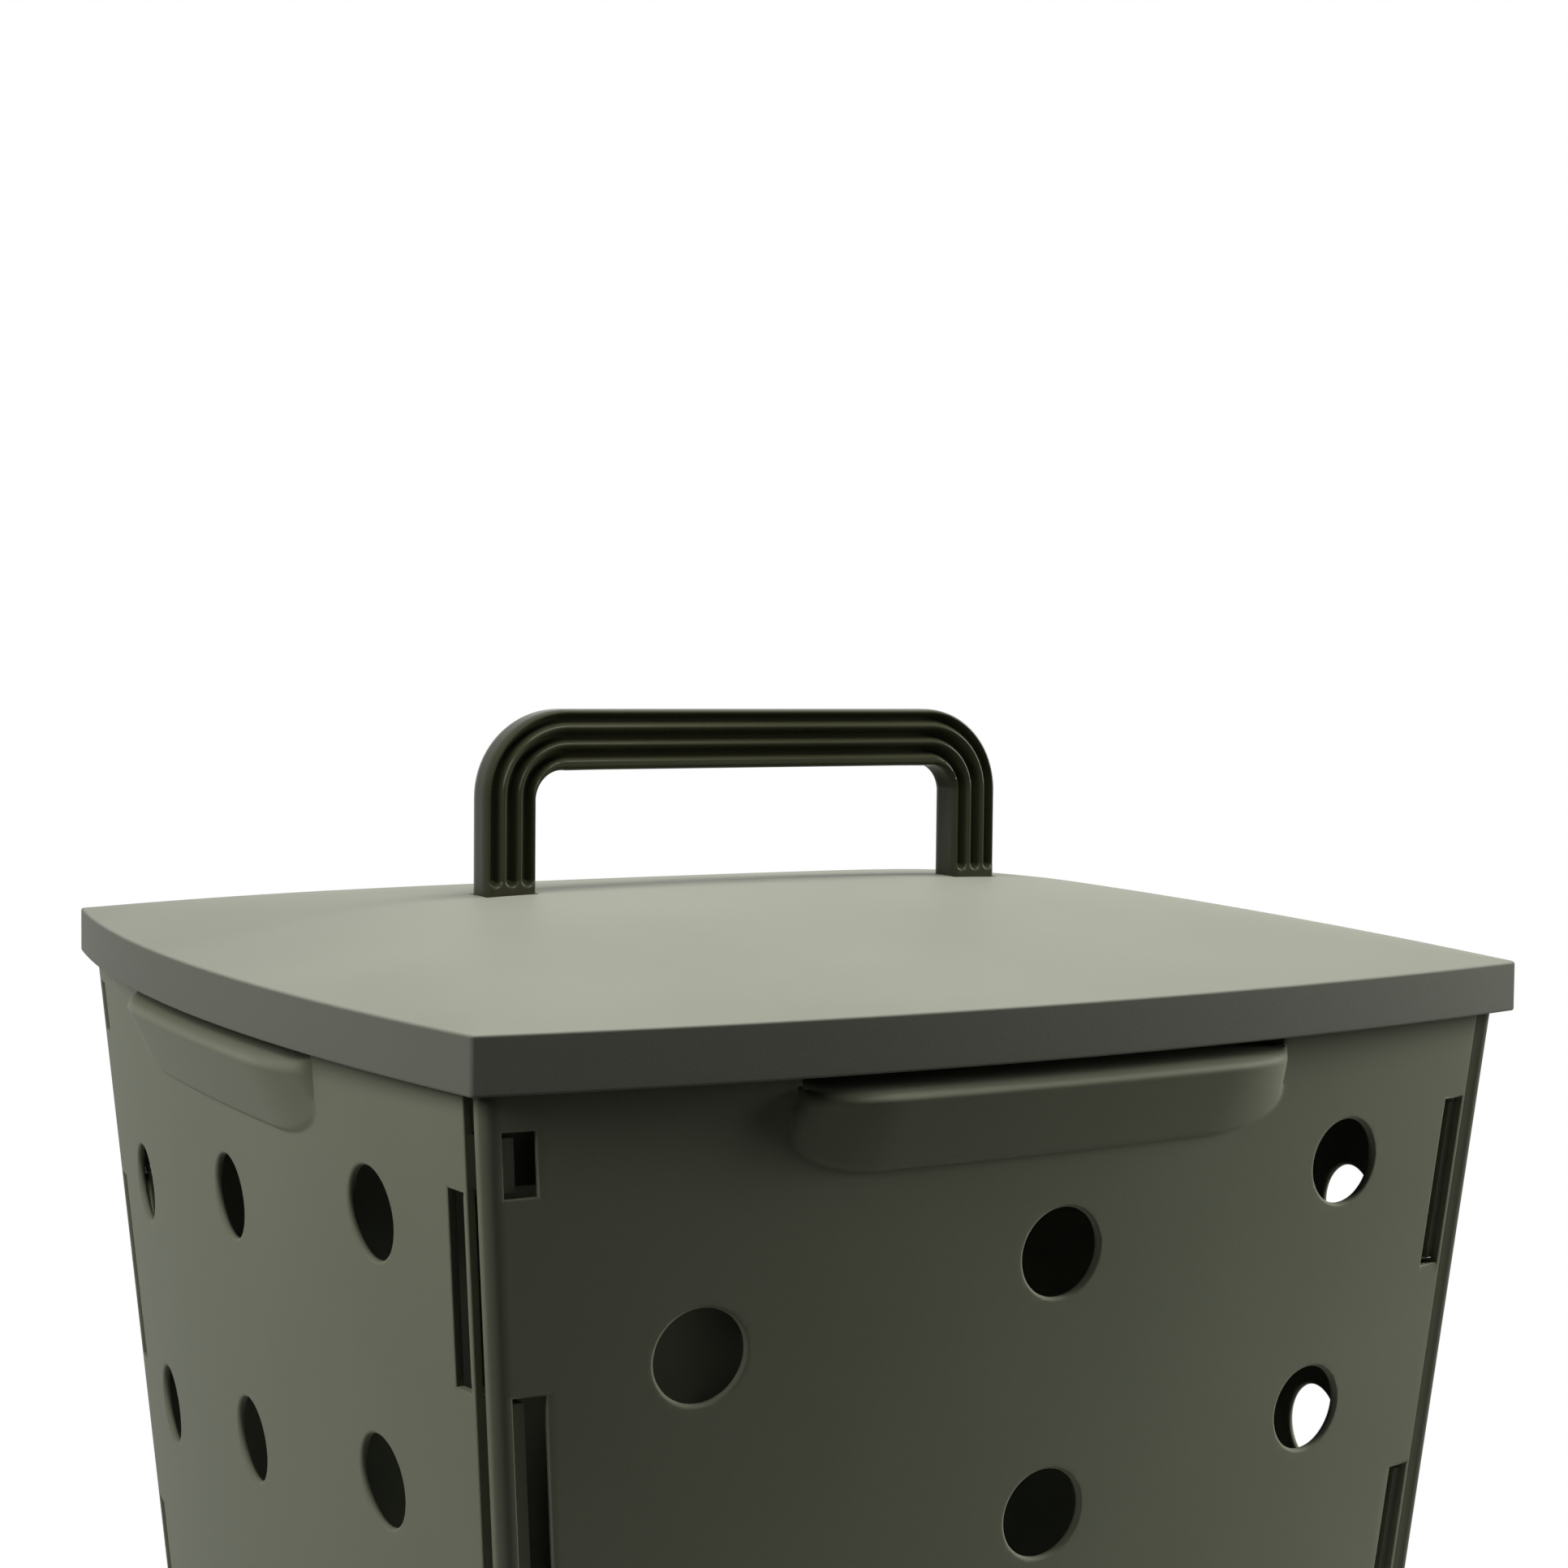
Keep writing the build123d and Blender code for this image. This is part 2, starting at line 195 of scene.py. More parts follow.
def grow_mesh(name, sizes, rule, start, material):
    """Runs a Geometry Nodes tree with named sizes and keeps what it makes as a plain mesh."""
    tree = bpy.data.node_groups.new(name, "GeometryNodeTree")
    for way in ("INPUT", "OUTPUT"):
        tree.interface.new_socket("Geometry", in_out=way, socket_type="NodeSocketGeometry")
    keys = {}
    for label, value in sizes.items():
        kind = "NodeSocketInt" if isinstance(value, int) else "NodeSocketFloat"
        keys[label] = tree.interface.new_socket(label, in_out="INPUT", socket_type=kind).identifier
    entry = tree.nodes.new("NodeGroupInput")
    given = Flow(tree, entry.outputs["Geometry"])
    shape = rule(given, {label: Flow(tree, entry.outputs[label]) for label in sizes})
    shape = shape.node("GeometryNodeRealizeInstances", {}, {"Geometry": shape})
    shape = shape.node("GeometryNodeSetMaterial", {}, {"Geometry": shape, "Material": material})
    tree.links.new(shape.socket, tree.nodes.new("NodeGroupOutput").inputs["Geometry"])
    seed = bpy.data.objects.new(name, start)
    bpy.context.scene.collection.objects.link(seed)
    modifier = seed.modifiers.new(name, "NODES")
    modifier.node_group = tree
    for label, value in sizes.items():
        modifier[keys[label]] = value
    grown = evaluated_mesh(seed)
    bpy.data.objects.remove(seed)
    return grown


def prism(bm, base, top):
    """Closed prism between two polygons with the same number of points."""
    low = [bm.verts.new(p) for p in base]
    high = [bm.verts.new(p) for p in top]
    bm.faces.new(low[::-1])
    bm.faces.new(high)
    for k in range(len(low)):
        bm.faces.new((low[k - 1], low[k], high[k], high[k - 1]))


def plan_at(z, s):
    """Corner half width, arc radius, arc centre and corner angle of the panels' plan at a height."""
    half = s["Base half"] + (s["Rim half"] - s["Base half"]) / s["Rim height"] * z
    share = half / s["Rim half"]
    rim_r = (s["Rim half"] * s["Rim half"] + s["Bow"] * s["Bow"]) / (2.0 * s["Bow"])
    r = rim_r * share
    centre = (rim_r - s["Rim half"] - s["Bow"]) * share
    return half, r, centre, (half / r).asin()


rim_steps = 3
cutter_clear = 0.001
cutter_flare = 0.0015


def rounded(layer, last, edge, thick, outside):
    """Depth and sideways growth of layer 0..last of a sheet or cutter with quarter-round rims.
    With outside, the first and the last layer stand clear of the sheet."""
    near = layer.low(last - layer)
    clear = (1.0 - near).high(0.0) if outside else 0.0
    step = (near - 1.0 if outside else near).high(0.0).low(rim_steps)
    angle = step * (math.pi / 2 / rim_steps)
    depth = edge * (1.0 - angle.cos()) - clear * cutter_clear
    growth = edge * (1.0 - angle.sin()) + clear * cutter_flare
    back = layer > last / 2
    return depth * (1.0 - back) + (thick - depth) * back, growth


def panel_rule(hooks, s):
    position = hooks.node("GeometryNodeInputPosition", {}, {})
    x, y, z = position.xyz()

    def moved(shape, px, py, pz):
        return shape.node("GeometryNodeSetPosition", {}, {
            "Geometry": shape, "Position": position.point(px, py, pz)})

    # Flat sheet: across, depth and height, with finer columns in the bend and at the pad's ends
    # and finer rows in a band at the pad
    columns, rows, layers = 160, 164, 7
    flange_columns, bend_columns, pad_rows = 2, 10, 64
    pad_band = 0.036
    crowding, waves = 0.55, 4 * math.pi
    outermost = 0.4999
    sheet = hooks.node("GeometryNodeMeshCube", {}, {
        "Size": (1.0, 1.0, 1.0),
        "Vertices X": columns + 1, "Vertices Y": layers + 1, "Vertices Z": rows + 1})
    column = (x + 0.5) * columns
    row = (0.5 - z) * rows
    depth, inset = rounded((y + 0.5) * layers, layers, s["Edge"], s["Wall"], False)
    fine = row.low(pad_rows) / pad_rows * pad_band
    coarse = (row - pad_rows).high(0.0) / (rows - pad_rows) * (s["Top"] - pad_band)
    height = s["Top"] - fine - coarse - z.sign() * (z.size() > outermost) * inset
    half, r, centre, corner = plan_at(height, s)
    bend_len = s["Bend radius"] * (math.pi / 2)
    face_start = s["Bend radius"] - corner * r
    turned = flange_columns + bend_columns
    across = face_start - bend_len - s["Flange"]
    across = across + column.low(flange_columns) / flange_columns * s["Flange"]
    across = across + (column - flange_columns).high(0.0).low(bend_columns) / bend_columns * bend_len
    face_len = corner * r - s["Edge in"] - face_start
    share = (column - turned).high(0.0) / (columns - turned)
    across = across + (share + (share * waves).sin() * (crowding / waves)) * face_len
    across = across - x.sign() * (x.size() > outermost) * inset
    sheet = moved(sheet, across, depth, height)

    # Air holes: a drill at each point of three columns
    drill_layers = 2 * rim_steps + 3
    drill = hooks.node("GeometryNodeMeshCylinder", {"fill_type": "NGON"}, {
        "Vertices": 72, "Side Segments": drill_layers, "Radius": s["Hole radius"], "Depth": 1.0})
    layer = (z + 0.5) * drill_layers
    depth, growth = rounded(layer, drill_layers, s["Hole edge"], s["Wall"], True)
    swell = 1.0 + growth / s["Hole radius"]
    drill = moved(drill, x * swell, depth, depth * taper - y * swell)
    cutters = []
    for column_name, side in (("Right", 1.0), ("Middle", 0.0), ("Left", -1.0)):
        line = hooks.node("GeometryNodeMeshLine", {}, {
            "Count": s[column_name + " column holes"],
            "Start Location": position.point(0.0, 0.0, s[column_name + " column z"]),
            "Offset": position.point(0.0, 0.0, -s["Hole pitch"])})
        if side:
            half, r, centre, corner = plan_at(z, s)
            inset = s[column_name + " column in"] + s["Column lean"] * (s["Rim height"] - z)
            line = moved(line, ((half - inset) / r).asin() * r * side, y, z)
        drills = line.node("GeometryNodeInstanceOnPoints", {}, {"Points": line, "Instance": drill})
        cutters.append(drills)

    # Catch windows: slots beside both edges that follow the leaning corner
    for width, length, first, count, side in (
        ("Right window width", "Right window length", "Right window z", "Right windows", 1.0),
        ("Left window width", "Left window length", "Left window z", "Left windows", -1.0),
        ("Left window width", "Short window length", "Short window z", None, -1.0),
    ):
        slot = hooks.node("GeometryNodeMeshCube", {}, {
            "Size": (1.0, 1.0, 1.0), "Vertices X": 2, "Vertices Y": drill_layers + 1, "Vertices Z": 2})
        layer = (y + 0.5) * drill_layers
        depth, growth = rounded(layer, drill_layers, s["Window edge"], s["Wall"], True)
        slot = moved(slot, x * s[width] + x.sign() * growth, depth, z * s[length] + z.sign() * growth)
        line = hooks.node("GeometryNodeMeshLine", {}, {
            "Count": s[count] if count else 1,
            "Start Location": position.point(0.0, 0.0, s[first]),
            "Offset": position.point(0.0, 0.0, -s["Window pitch"])})
        slots = line.node("GeometryNodeInstanceOnPoints", {}, {"Points": line, "Instance": slot})
        slots = slots.node("GeometryNodeRealizeInstances", {}, {"Geometry": slots})
        half, r, centre, corner = plan_at(z, s)
        near = s["Edge in" if side > 0 else "Bend radius"] + s["Strip"] + s[width] / 2.0
        cutters.append(moved(slots, x + (corner * r - near) * side, y, z))
    cut = hooks.node("GeometryNodeJoinGeometry", {}, {"Geometry": cutters})
    cut = cut.node("GeometryNodeRealizeInstances", {}, {"Geometry": cut})
    sheet = sheet.node("GeometryNodeMeshBoolean", {"operation": "DIFFERENCE", "solver": "EXACT"}, {
        "Mesh 1": sheet, "Mesh 2": cut})

    # Bow and lean, the square bend with its flange, then the finger slot over a raised round pad
    half, r, centre, corner = plan_at(z, s)
    turn = corner - s["Bend radius"] / r
    past = (-turn * r - x).high(0.0)
    bend = (past / s["Bend radius"]).low(math.pi / 2)
    along = (past - s["Bend radius"] * (math.pi / 2)).high(0.0)
    angle = (x / r).high(-turn)
    face_r = r - y
    back = (s["Bend radius"] - y) * (1.0 - bend.cos()) + along
    aside = (s["Bend radius"] - y) * bend.sin()
    out_x = face_r * angle.sin() + back * turn.sin() - aside * turn.cos()
    out_y = centre - face_r * angle.cos() + back * turn.cos() + aside * turn.sin()
    drop = s["Top"] - z
    off_end = (out_x - s["Pad middle"]).size() - s["Pad half"]
    off_slot = (off_end / s["Slot end"] + 1.0).high(0.0).low(1.0)
    above = ((s["Slot height"] - drop) / s["Slot edge"] + 0.5).high(0.0).low(1.0)
    dent = s["Slot depth"] * above * (1.0 - off_slot * off_slot * (3.0 - 2.0 * off_slot))
    off_pad = (off_end / s["Pad end"] + 1.0).high(0.0).low(1.0)
    off_top = (1.0 - (drop - s["Slot height"]) / s["Pad round"]).high(0.0).low(1.0)
    side = (1.0 - off_pad * off_pad).sqrt()
    bottom = s["Pad height"] - s["Pad corner"] * (1.0 - side)
    off_foot = ((drop - bottom) / s["Pad foot"] + 1.0).high(0.0).low(1.0)
    pad_face = s["Slot height"] + s["Pad round"]
    fall = (drop - pad_face).high(0.0) / (bottom - pad_face)
    proud = side * (s["Pad top"] + (s["Pad bottom"] - s["Pad top"]) * fall)
    for off in (off_top, off_foot):
        proud = proud * (1.0 - off * off).sqrt()
    sheet = moved(sheet, out_x, out_y + dent - proud, z)
    return sheet.node("GeometryNodeMeshBoolean", {"operation": "UNION", "solver": "EXACT"}, {
        "Mesh 2": [sheet, hooks]})


cloud_scale = 14.0
speck_scale = 900.0
pit_scale = 1700.0
speck_share = 0.2
cloud_sheen = 0.1
speck_sheen = 0.08


def moulded(name, dark, light, sheen, grain, gloss, shaded=None, painted_shade_factor=1.0):
    """Moulded plastic: faint cloudy flow marks, uneven sheen and a fine eroded grain. Where the rule
    shaded gives 1, the colour is darkened by the given factor, as painted shade."""
    made = bpy.data.materials.new(name)
    made.use_nodes = True
    tree = made.node_tree
    shader = tree.nodes["Principled BSDF"]
    shader.inputs["Specular IOR Level"].default_value = gloss
    start = Flow(tree, None)
    place = start.node("ShaderNodeTexCoord", {}, {}, "Object")
    clouds = start.node("ShaderNodeTexNoise", {}, {"Vector": place, "Scale": cloud_scale, "Detail": 3.0})
    specks = start.node("ShaderNodeTexNoise", {}, {"Vector": place, "Scale": speck_scale, "Detail": 2.0})
    tone = clouds * (1.0 - speck_share) + specks * speck_share
    colour = start.node("ShaderNodeValToRGB", {"stops": [(0.3, dark), (0.7, light)]}, {"Fac": tone})
    # Painted shade: the colour is darkened where the rule shaded gives 1
    if shaded:
        colour = start.node("ShaderNodeMix", {"data_type": "RGBA", "blend_type": "MULTIPLY"}, {
            0: shaded(*place.xyz()), 6: colour, 7: (painted_shade_factor, painted_shade_factor, painted_shade_factor, 1.0)}, 2)
    tree.links.new(colour.socket, shader.inputs["Base Color"])
    rough = sheen + (clouds - 0.5) * cloud_sheen + (specks - 0.5) * speck_sheen
    tree.links.new(rough.socket, shader.inputs["Roughness"])
    pits = start.node("ShaderNodeTexNoise", {}, {
        "Vector": place, "Scale": pit_scale, "Detail": 3.0, "Roughness": 0.6})
    bump = start.node("ShaderNodeBump", {}, {"Height": pits, "Distance": grain, "Strength": 0.5})
    tree.links.new(bump.socket, shader.inputs["Normal"])
    return made


# Painted shade: the bends and flanges at the corners are darkened to half, standing in for the shade in
# the corner joints.
bend_shade_reach = 0.0046
bend_shade_fade = 0.0026


def painted_bend_shade(x, y, z):
    """Painted shade on the bends and flanges, within a few millimetres of the four corners."""
    to_corner = base_half + taper * z - x.size().low(y.size())
    return ((bend_shade_reach - to_corner) / bend_shade_fade).high(0.0).low(1.0)


# The panels' colour carries painted shade at the bends and flanges.
panel_plastic = moulded(
    "panel_plastic_with_painted_shade", (0.170, 0.182, 0.128), (0.192, 0.204, 0.147),
    sheen=0.48, grain=0.00004, gloss=0.03, shaded=painted_bend_shade, painted_shade_factor=0.5)

# Hooks stand behind both edges and reach into the neighbour's windows; the ledge carries the floor
turn = 2 * math.atan(body_bow / body_half)
hook_t = 0.0028
hook_clear = 0.0005
hook_play = 0.0003
hook_short = 0.0012
strip = panel_sizes["Strip"]
right_near = edge_in + strip
left_near = bend_r + strip
right_far = right_near + hook_play + hook_t
cover_reach = 0.005
left_far = left_near + panel_sizes["Left window width"] + cover_reach
left_sunk = 0.001
right_sunk = 0.0016
hook_edge = 0.0003
hook_sharp = math.radians(40)


def corner_hook(bm, side, start, lug, far, sunk, middle, length):
    """Leg that stands behind the corner, and a lug on it that is turned into a window."""
    leg = start + hook_clear
    points = [
        (leg, wall / 2), (leg + hook_t, wall / 2), (leg + hook_t, far), (leg, far),
        (leg, lug + hook_t), (sunk, lug + hook_t), (sunk, lug), (leg, lug),
    ]
    # A leg that ends at its lug has no stretch beyond it
    if far < lug + 1.5 * hook_t:
        del points[3:5]
    own = Vector((-side * math.cos(turn), -math.sin(turn), 0))
    other = Vector((side * math.sin(turn), math.cos(turn), 0))
    ends = []
    for z in (middle - length / 2 + hook_short, middle + length / 2 - hook_short):
        half = base_half + taper * z
        ends.append([Vector((side * half, -half, z)) + own * p + other * q for p, q in points])
    prism(bm, *ends)


def window_row(side_name):
    """Middle height and length of each of the long windows at one side of a panel."""
    first = panel_sizes[side_name + " window z"]
    pitch = panel_sizes["Window pitch"]
    length = panel_sizes[side_name + " window length"]
    return [(first - k * pitch, length) for k in range(panel_sizes[side_name + " windows"])]


hook_bm = bmesh.new()
right_start = wall / math.cos(2 * turn)
for middle, length in window_row("Right"):
    corner_hook(hook_bm, -1, right_start, right_near + hook_play, right_far, right_sunk, middle, length)
short_window = (panel_sizes["Short window z"], panel_sizes["Short window length"])
for middle, length in window_row("Left") + [short_window]:
    corner_hook(hook_bm, 1, edge_in, left_near + hook_play, left_far, left_sunk, middle, length)
lip_w = 0.010
lip_t = 0.003
lip_end = 0.001
base_bow = body_bow * base_half / body_half
base_r = (base_half ** 2 + base_bow ** 2) / (2 * base_bow)
lip_angle = math.asin((base_half - wall - lip_w - lip_end) / base_r)
lip_steps = 32
lip = []
for depth, way in ((wall / 2, 1), (wall + lip_w, -1)):
    for k in range(-lip_steps, lip_steps + 1):
        angle = way * lip_angle * k / lip_steps
        r = base_r - depth
        lip.append(Vector((r * math.sin(angle), base_r - base_half - base_bow - r * math.cos(angle), 0)))
prism(hook_bm, lip, [p + Vector((0, 0, lip_t)) for p in lip])
bmesh.ops.recalc_face_normals(hook_bm, faces=hook_bm.faces)
sharp = [e for e in hook_bm.edges if e.calc_face_angle() > hook_sharp]
bmesh.ops.bevel(hook_bm, geom=sharp, offset=hook_edge, segments=2, affect="EDGES", profile=0.5)
crease = math.radians(32)


def kept_mesh(name, bm):
    """Turns finished edits into a mesh."""
    mesh = bpy.data.meshes.new(name)
    bm.to_mesh(mesh)
    return mesh


def placed(name, mesh, body, slot, *nodes):
    """Puts a finished mesh into the scene as the piece that stands for these solids."""
    mesh.name = name
    mesh.shade_smooth()
    mesh.set_sharp_from_angle(angle=crease)
    piece = bpy.data.objects.new(name, mesh)
    bpy.context.scene.collection.objects.link(piece)
    even = piece.modifiers.new("even_shading", "WEIGHTED_NORMAL")
    even.keep_sharp = True
    piece.data = evaluated_mesh(piece)
    piece.modifiers.clear()
    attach(piece, body)
    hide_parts(*nodes)


hook_mesh = kept_mesh("panel_hooks", hook_bm)
panel_mesh = grow_mesh("side_panel", panel_sizes, panel_rule, hook_mesh, panel_plastic)
for side_name, quarter in (("front", 0), ("right", 1), ("back", 2), ("left", 3)):
    turned = panel_mesh.copy()
    turned.transform(Matrix.Rotation(quarter * math.pi / 2, 4, "Z"))
    placed(side_name + "_panel", turned, "bin", "panel_plastic", "panel_" + side_name)

# Floor plate. A loose flat moulding that lies on the panels' four bottom ledges.
# It is pierced with rows of small drain holes.
floor_t = 0.003
floor_gap = 0.0006
floor_corner_r = 0.012
floor_edge = 0.0005
floor_edge_mid = 0.3 * floor_edge
floor_side_steps = 24


def all_four(side):
    """The points of one side of a square, turned to all four sides."""
    points = []
    for c, s in ((1, 0), (0, 1), (-1, 0), (0, -1)):
        points += [(x * c - y * s, x * s + y * c) for x, y in side]
    return points


def bowed_outline(half, bow, inset, corner_r, count):
    """Points round a bowed square with rounded corners, moved in by inset."""
    r = (half * half + bow * bow) / (2 * bow)
    centre = r - half - bow
    arc_r = r - inset - corner_r
    m = (math.sqrt(2 * arc_r ** 2 - centre ** 2) - centre) / 2
    end = math.asin(m / arc_r)
    side = [(math.sin(a) * (r - inset), centre - math.cos(a) * (r - inset))
            for a in (end * (2 * k / count - 1) for k in range(count + 1))]
    bends = 6
    for k in range(1, bends):
        a = end + (math.pi / 2 - 2 * end) * k / bends
        side.append((m + corner_r * math.sin(a), -m - corner_r * math.cos(a)))
    return all_four(side)


def stacked(bm, rings):
    """Skin over rings of points, with a cap on the first and the last ring."""
    rows = [[bm.verts.new(p) for p in ring] for ring in rings]
    for low, high in zip(rows, rows[1:]):
        for k in range(len(low)):
            bm.faces.new((low[k - 1], low[k], high[k], high[k - 1]))
    bm.faces.new(rows[0][::-1])
    bm.faces.new(rows[-1])


floor_half = base_half + taper * lip_t
floor_bow = body_bow * floor_half / body_half
floor_bm = bmesh.new()
floor_rings = []
for inset, z in (
    (floor_edge, 0), (floor_edge_mid, floor_edge_mid), (0, floor_edge),
    (0, floor_t - floor_edge), (floor_edge_mid, floor_t - floor_edge_mid), (floor_edge, floor_t),
):
    floor_inset = wall + floor_gap + inset
    outline = bowed_outline(floor_half, floor_bow, floor_inset, floor_corner_r, floor_side_steps)
    floor_rings.append([(x, y, lip_t + z) for x, y in outline])
stacked(floor_bm, floor_rings)
floor_blank = kept_mesh("floor_blank", floor_bm)
floor_sizes = {
    "Thickness": floor_t, "Underside z": lip_t, "Drain radius": 0.0045, "Drain edge": 0.0005,
    "Drain pitch": 0.027, "Drains in a row": 7,
}


def floor_rule(blank, s):
    position = blank.node("GeometryNodeInputPosition", {}, {})
    x, y, z = position.xyz()
    layers = 2 * rim_steps + 3
    drill = blank.node("GeometryNodeMeshCylinder", {"fill_type": "NGON"}, {
        "Vertices": 32, "Side Segments": layers, "Radius": s["Drain radius"], "Depth": 1.0})
    depth, growth = rounded((z + 0.5) * layers, layers, s["Drain edge"], s["Thickness"], True)
    swell = 1.0 + growth / s["Drain radius"]
    drill = drill.node("GeometryNodeSetPosition", {}, {
        "Geometry": drill, "Position": position.point(x * swell, y * swell, s["Underside z"] + depth)})
    across = s["Drain pitch"] * (s["Drains in a row"] - 1.0)
    grid = blank.node("GeometryNodeMeshGrid", {}, {
        "Size X": across, "Size Y": across,
        "Vertices X": s["Drains in a row"], "Vertices Y": s["Drains in a row"]})
    drains = grid.node("GeometryNodeInstanceOnPoints", {}, {"Points": grid, "Instance": drill})
    drains = drains.node("GeometryNodeRealizeInstances", {}, {"Geometry": drains})
    return blank.node("GeometryNodeMeshBoolean", {"operation": "DIFFERENCE", "solver": "EXACT"}, {
        "Mesh 1": blank, "Mesh 2": drains})


floor_plastic = moulded(
    "floor_plastic_finish", (0.160, 0.171, 0.121), (0.182, 0.193, 0.139),
    sheen=0.52, grain=0.00005, gloss=0.03)
floor_mesh = grow_mesh("floor_plate", floor_sizes, floor_rule, floor_blank, floor_plastic)
placed("drained_floor", floor_mesh, "bin", "floor_plastic", "floor_plate")

# Lid. One moulding a little larger than the body, with a short skirt and a low crown that is
# highest in a strip under the handle. Ribs inside the skirt centre it; it just lies on the panels.
lid_over = 0.0025
lid_more_bow = 0.0036
lid_half = body_half + lid_over
lid_bow = body_bow + lid_more_bow
lid_corner_r = 0.0008
lid_edge = 0.0006
lid_wall = 0.0026
skirt_h = 0.013
crown_h = 0.01675
strip_x = 0.095
strip_y = 0.022
crown_soft = 4.0
crown_brink = 0.02
lid_reach = lid_half + lid_bow
lid_r = (lid_half ** 2 + lid_bow ** 2) / (2 * lid_bow)


def lid_side(share):
    """How far from the axis a side of the lid lies, at a share of the way along it."""
    return math.sqrt(lid_r ** 2 - (lid_half * share) ** 2) - lid_r + lid_reach


def crown(xi, eta):
    """Height above the rim at a share of the way from the axis to each side: a soft minimum of
    two slopes and the flat strip, and at the brink the plain one, since the soft one divides by it."""
    a = (1 - abs(xi)) / (1 - strip_x / lid_reach)
    b = (1 - abs(eta)) / (1 - strip_y / lid_reach)
    if min(a, b) < crown_brink:
        return crown_h * min(a, b)
    return crown_h * (1 + a ** -crown_soft + b ** -crown_soft) ** (-1 / crown_soft)


def lid_square(count, bends):
    """Unit square with small round corners, as shares of the way from the axis to each side."""
    r = lid_corner_r / lid_half
    side = [((1 - r) * (2 * k / count - 1), -1.0) for k in range(count + 1)]
    for k in range(1, bends):
        a = math.pi / 2 * k / bends
        side.append((1 - r + r * math.sin(a), r - 1 - r * math.cos(a)))
    return all_four(side)


lid_side_steps, lid_corner_steps = 44, 6
lid_points = lid_square(lid_side_steps, lid_corner_steps)


def lid_ring(share, height):
    """Ring of the lid at a share of the way out; height takes the crown's height there."""
    ring = []
    for a, b in lid_points:
        xi, eta = share * a, share * b
        ring.append((xi * lid_side(eta), eta * lid_side(xi), rim_z + height(crown(xi, eta))))
    return ring


def lid_bend(first, corner, last, steps):
    """Rounds an edge of the lid's section between two places, each an inset and a height rule."""
    rings = []
    for k in range(1, steps + 1):
        t = k / steps
        w = ((1 - t) ** 2, 2 * t * (1 - t), t * t)
        inset = sum(v * p[0] for v, p in zip(w, (first, corner, last)))
        rings.append(lid_ring(1 - inset / lid_half, lambda h: sum(
            v * p[1](h) for v, p in zip(w, (first, corner, last)))))
    return rings


ledge_in = 0.003
panel_reach = (panel_top * taper + base_half) * (1 + body_bow / body_half)
ledge_inset = lid_reach - panel_reach + wall + ledge_in
ledge_share = ledge_inset * lid_half / lid_reach
top_steps, skirt_steps = 30, 4
rim_bends, skirt_bends = 5, 4
rings = []
for k in range(1, top_steps + 1):
    rings.append(lid_ring((1 - lid_edge / lid_half) * k / top_steps, lambda h: h))
rings += lid_bend((lid_edge, lambda h: h), (0, lambda h: 0), (0, lambda h: -lid_edge), rim_bends)
for k in range(1, skirt_steps + 1):
    rings.append(lid_ring(1, lambda h: -lid_edge - (skirt_h - 2 * lid_edge) * k / skirt_steps))
rings += lid_bend((0, lambda h: lid_edge - skirt_h), (0, lambda h: -skirt_h),
                  (lid_edge, lambda h: -skirt_h), skirt_bends)
rings += lid_bend((lid_wall - lid_edge, lambda h: -skirt_h), (lid_wall, lambda h: -skirt_h),
                  (lid_wall, lambda h: lid_edge - skirt_h), skirt_bends)
rings.append(lid_ring(1 - lid_wall / lid_half, lambda h: -seat_drop))
rings.append(lid_ring(1 - ledge_share / lid_half, lambda h: -seat_drop))
for k in range(top_steps, 0, -1):
    rings.append(lid_ring((1 - ledge_share / lid_half) * k / top_steps, lambda h: h - lid_wall))
lid_bm = bmesh.new()
stacked(lid_bm, rings[::-1])
bmesh.ops.recalc_face_normals(lid_bm, faces=lid_bm.faces)
lid_shell = kept_mesh("lid_shell", lid_bm)

leg_x = 0.0756
socket_deep = 0.0006
foot_z = rim_z + crown(leg_x / lid_reach, 0) - socket_deep
lid_sizes = {
    "Leg x": leg_x, "Foot z": foot_z,
    "Socket length": 0.0154, "Socket width": 0.0124, "Socket room": 0.003,
    "Boss radius": 0.008, "Boss height": 0.0045, "Screw hole radius": 0.0022,
    "Rib x": lid_half - 0.042, "Rib y": 0.1539, "Rib width": 0.0024, "Rib depth": 0.0030,
    "Rib z": rim_z - 0.0078, "Rib height": 0.0087,
}


